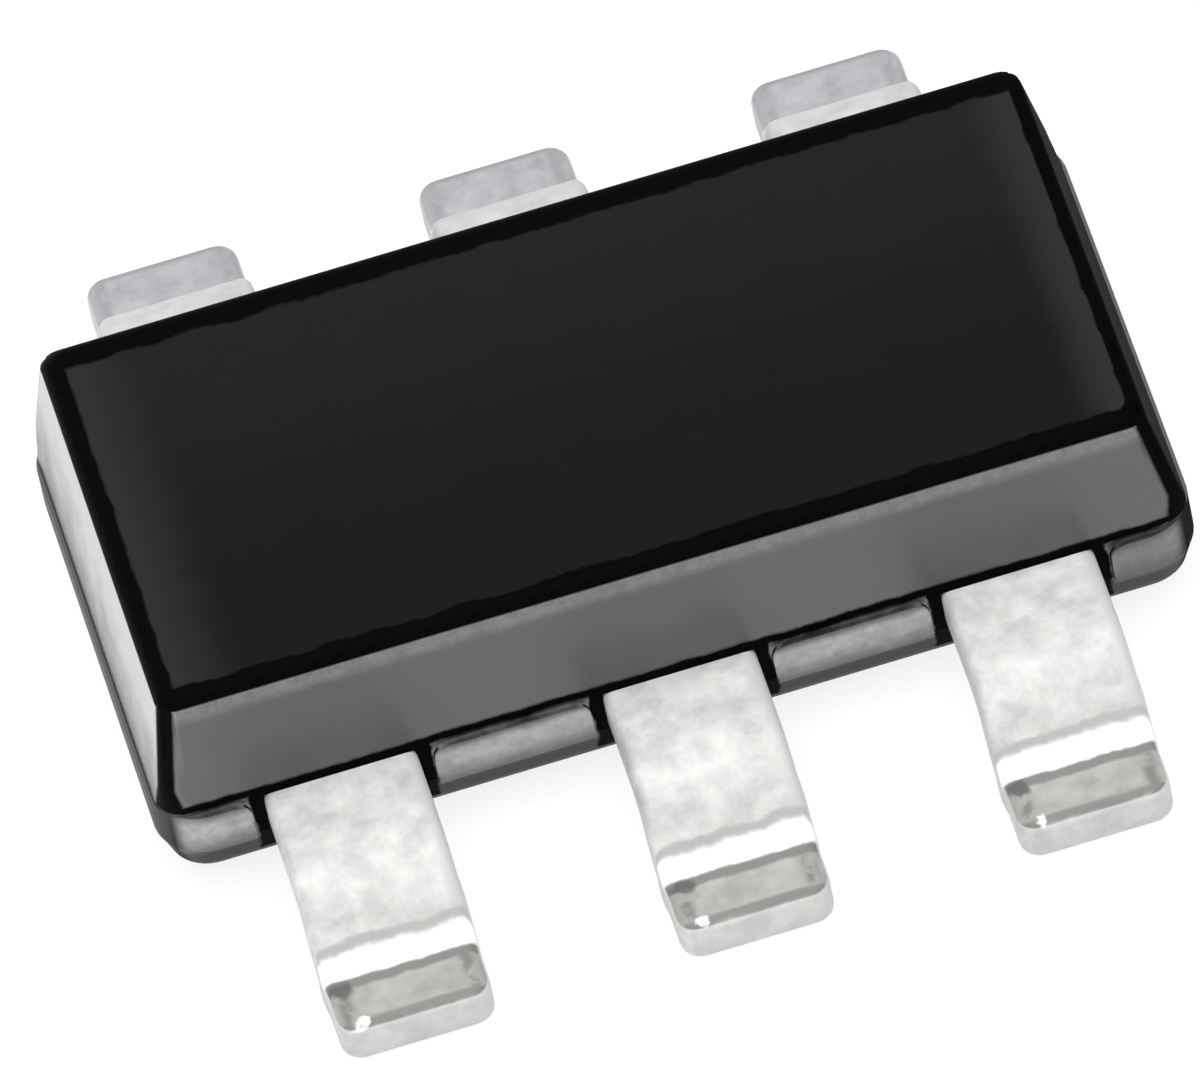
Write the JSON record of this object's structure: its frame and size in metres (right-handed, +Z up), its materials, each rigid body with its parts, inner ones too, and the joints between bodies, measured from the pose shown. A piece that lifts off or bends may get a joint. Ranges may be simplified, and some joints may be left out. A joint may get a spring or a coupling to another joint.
{
  "type": "analog-to-digital converter chip",
  "caption": "Small surface-mount chip: a flat black moulded body with tinned gull-wing leads along both long sides, around a converter die on its lead frame.",
  "frame": {"origin": "centre of the package on the board surface, in the plane under the feet", "axes": "+X along the body's length, +Y across the leads towards the back row, +Z up from the board. Pins 1 to 3 lie along -Y from -X to +X, and pins 4 to 6 along +Y from +X to -X."},
  "size_m": [0.003, 0.0028, 0.0008],
  "materials": {
    "moulded_resin": "fine matte moulded epoxy resin, near black",
    "tinned_lead": "matte tin plating over copper alloy",
    "silicon": "polished silicon",
    "die_adhesive": "silver-filled epoxy",
    "gold_wire": "drawn gold"
  },
  "bodies": {
    "root": {"body": "moulded_resin", "lead_1": "tinned_lead", "lead_2": "tinned_lead", "lead_3": "tinned_lead", "lead_4": "tinned_lead", "lead_5": "tinned_lead", "lead_6": "tinned_lead", "die_attach": "die_adhesive", "die": "silicon", "bond_wire_1": "gold_wire", "bond_wire_2": "gold_wire", "bond_wire_3": "gold_wire", "bond_wire_4": "gold_wire", "bond_wire_5": "gold_wire", "bond_wire_6": "gold_wire"}
  },
  "joints": []
}
